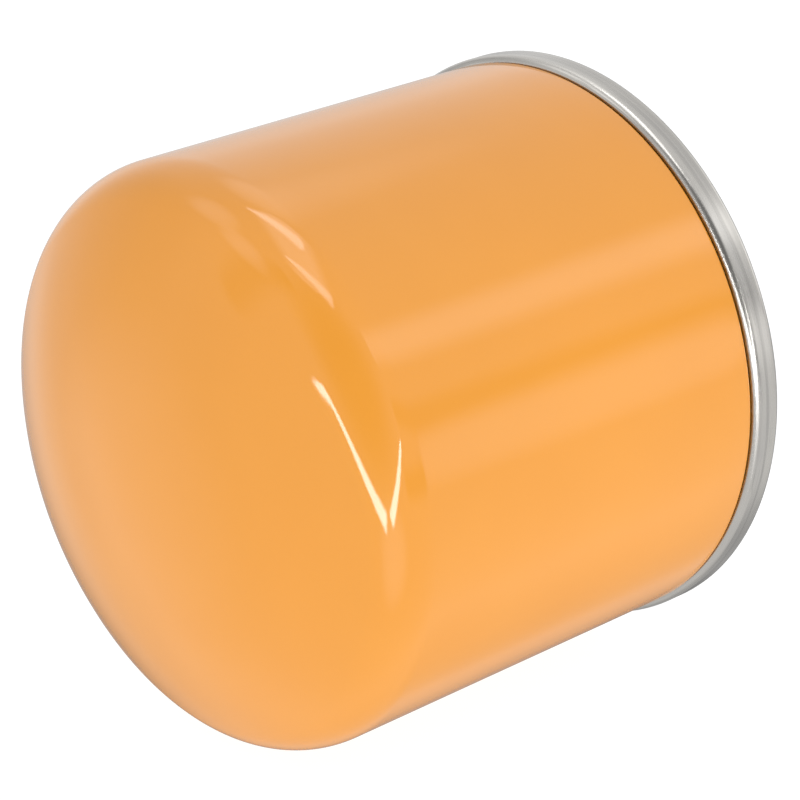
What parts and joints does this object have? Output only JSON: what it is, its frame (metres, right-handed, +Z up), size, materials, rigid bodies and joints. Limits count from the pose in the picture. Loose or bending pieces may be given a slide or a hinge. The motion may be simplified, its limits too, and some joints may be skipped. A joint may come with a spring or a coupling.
{
  "type": "oil filter",
  "caption": "Spin-on oil filter: painted can with a domed end, rolled seam, gasket and threaded plate, and a pleated element with check and bypass valves inside.",
  "frame": {"origin": "centre of the gasket's sealing face, on the axis of the engine's threaded stud", "axes": "+X along the stud's axis towards the engine, -X towards the can's domed end, +Z up; the filter lies on its side, as on a horizontal stud"},
  "size_m": [0.0751, 0.076, 0.076],
  "materials": {
    "can_paint": "glossy orange paint on drawn steel",
    "tinned_steel": "bright tinned sheet, satin",
    "plate_steel": "bare oiled plate",
    "plated_sheet": "thin plated sheet",
    "spring_steel": "drawn spring wire",
    "gasket_rubber": "matte black nitrile",
    "valve_rubber": "matte black moulded rubber",
    "seam_compound": "dry sealing compound",
    "adhesive": "cured plastisol",
    "filter_paper": "resin-cured pleated paper"
  },
  "bodies": {
    "shell": {"canister": "can_paint", "seaming_cover": "tinned_steel", "seam_compound": "seam_compound", "tapping_plate": "plate_steel", "mounting_gasket": "gasket_rubber", "element_spring": "spring_steel"},
    "check_valve": {"anti_drainback_valve": "valve_rubber"},
    "element": {"lower_end_cap": "plated_sheet", "lower_potting": "adhesive", "center_tube": "plated_sheet", "pleated_media": "filter_paper", "media_seam_clip": "plated_sheet", "upper_potting": "adhesive", "upper_end_cap": "plated_sheet", "bypass_seat": "plated_sheet", "bypass_cage": "plated_sheet", "bypass_spring": "spring_steel", "element_spring_seat": "plated_sheet"},
    "bypass_valve": {"bypass_seal": "valve_rubber", "bypass_poppet": "plated_sheet"}
  },
  "joints": [
    {"name": "check_valve_lift", "type": "slide", "parent": "shell", "child": "check_valve", "axis": [-1, 0, 0], "range_m": [0, 0.0012], "stiffness_N_per_m": 500, "springref_m": -0.0006},
    {"name": "element_float", "type": "slide", "parent": "shell", "child": "element", "axis": [-1, 0, 0], "range_m": [0, 0.001], "stiffness_N_per_m": 2000, "springref_m": -0.015, "deforming": ["element_spring"]},
    {"name": "bypass_lift", "type": "slide", "parent": "element", "child": "bypass_valve", "axis": [1, 0, 0], "range_m": [0, 0.003], "stiffness_N_per_m": 840, "springref_m": -0.0107, "deforming": ["bypass_spring"]}
  ]
}
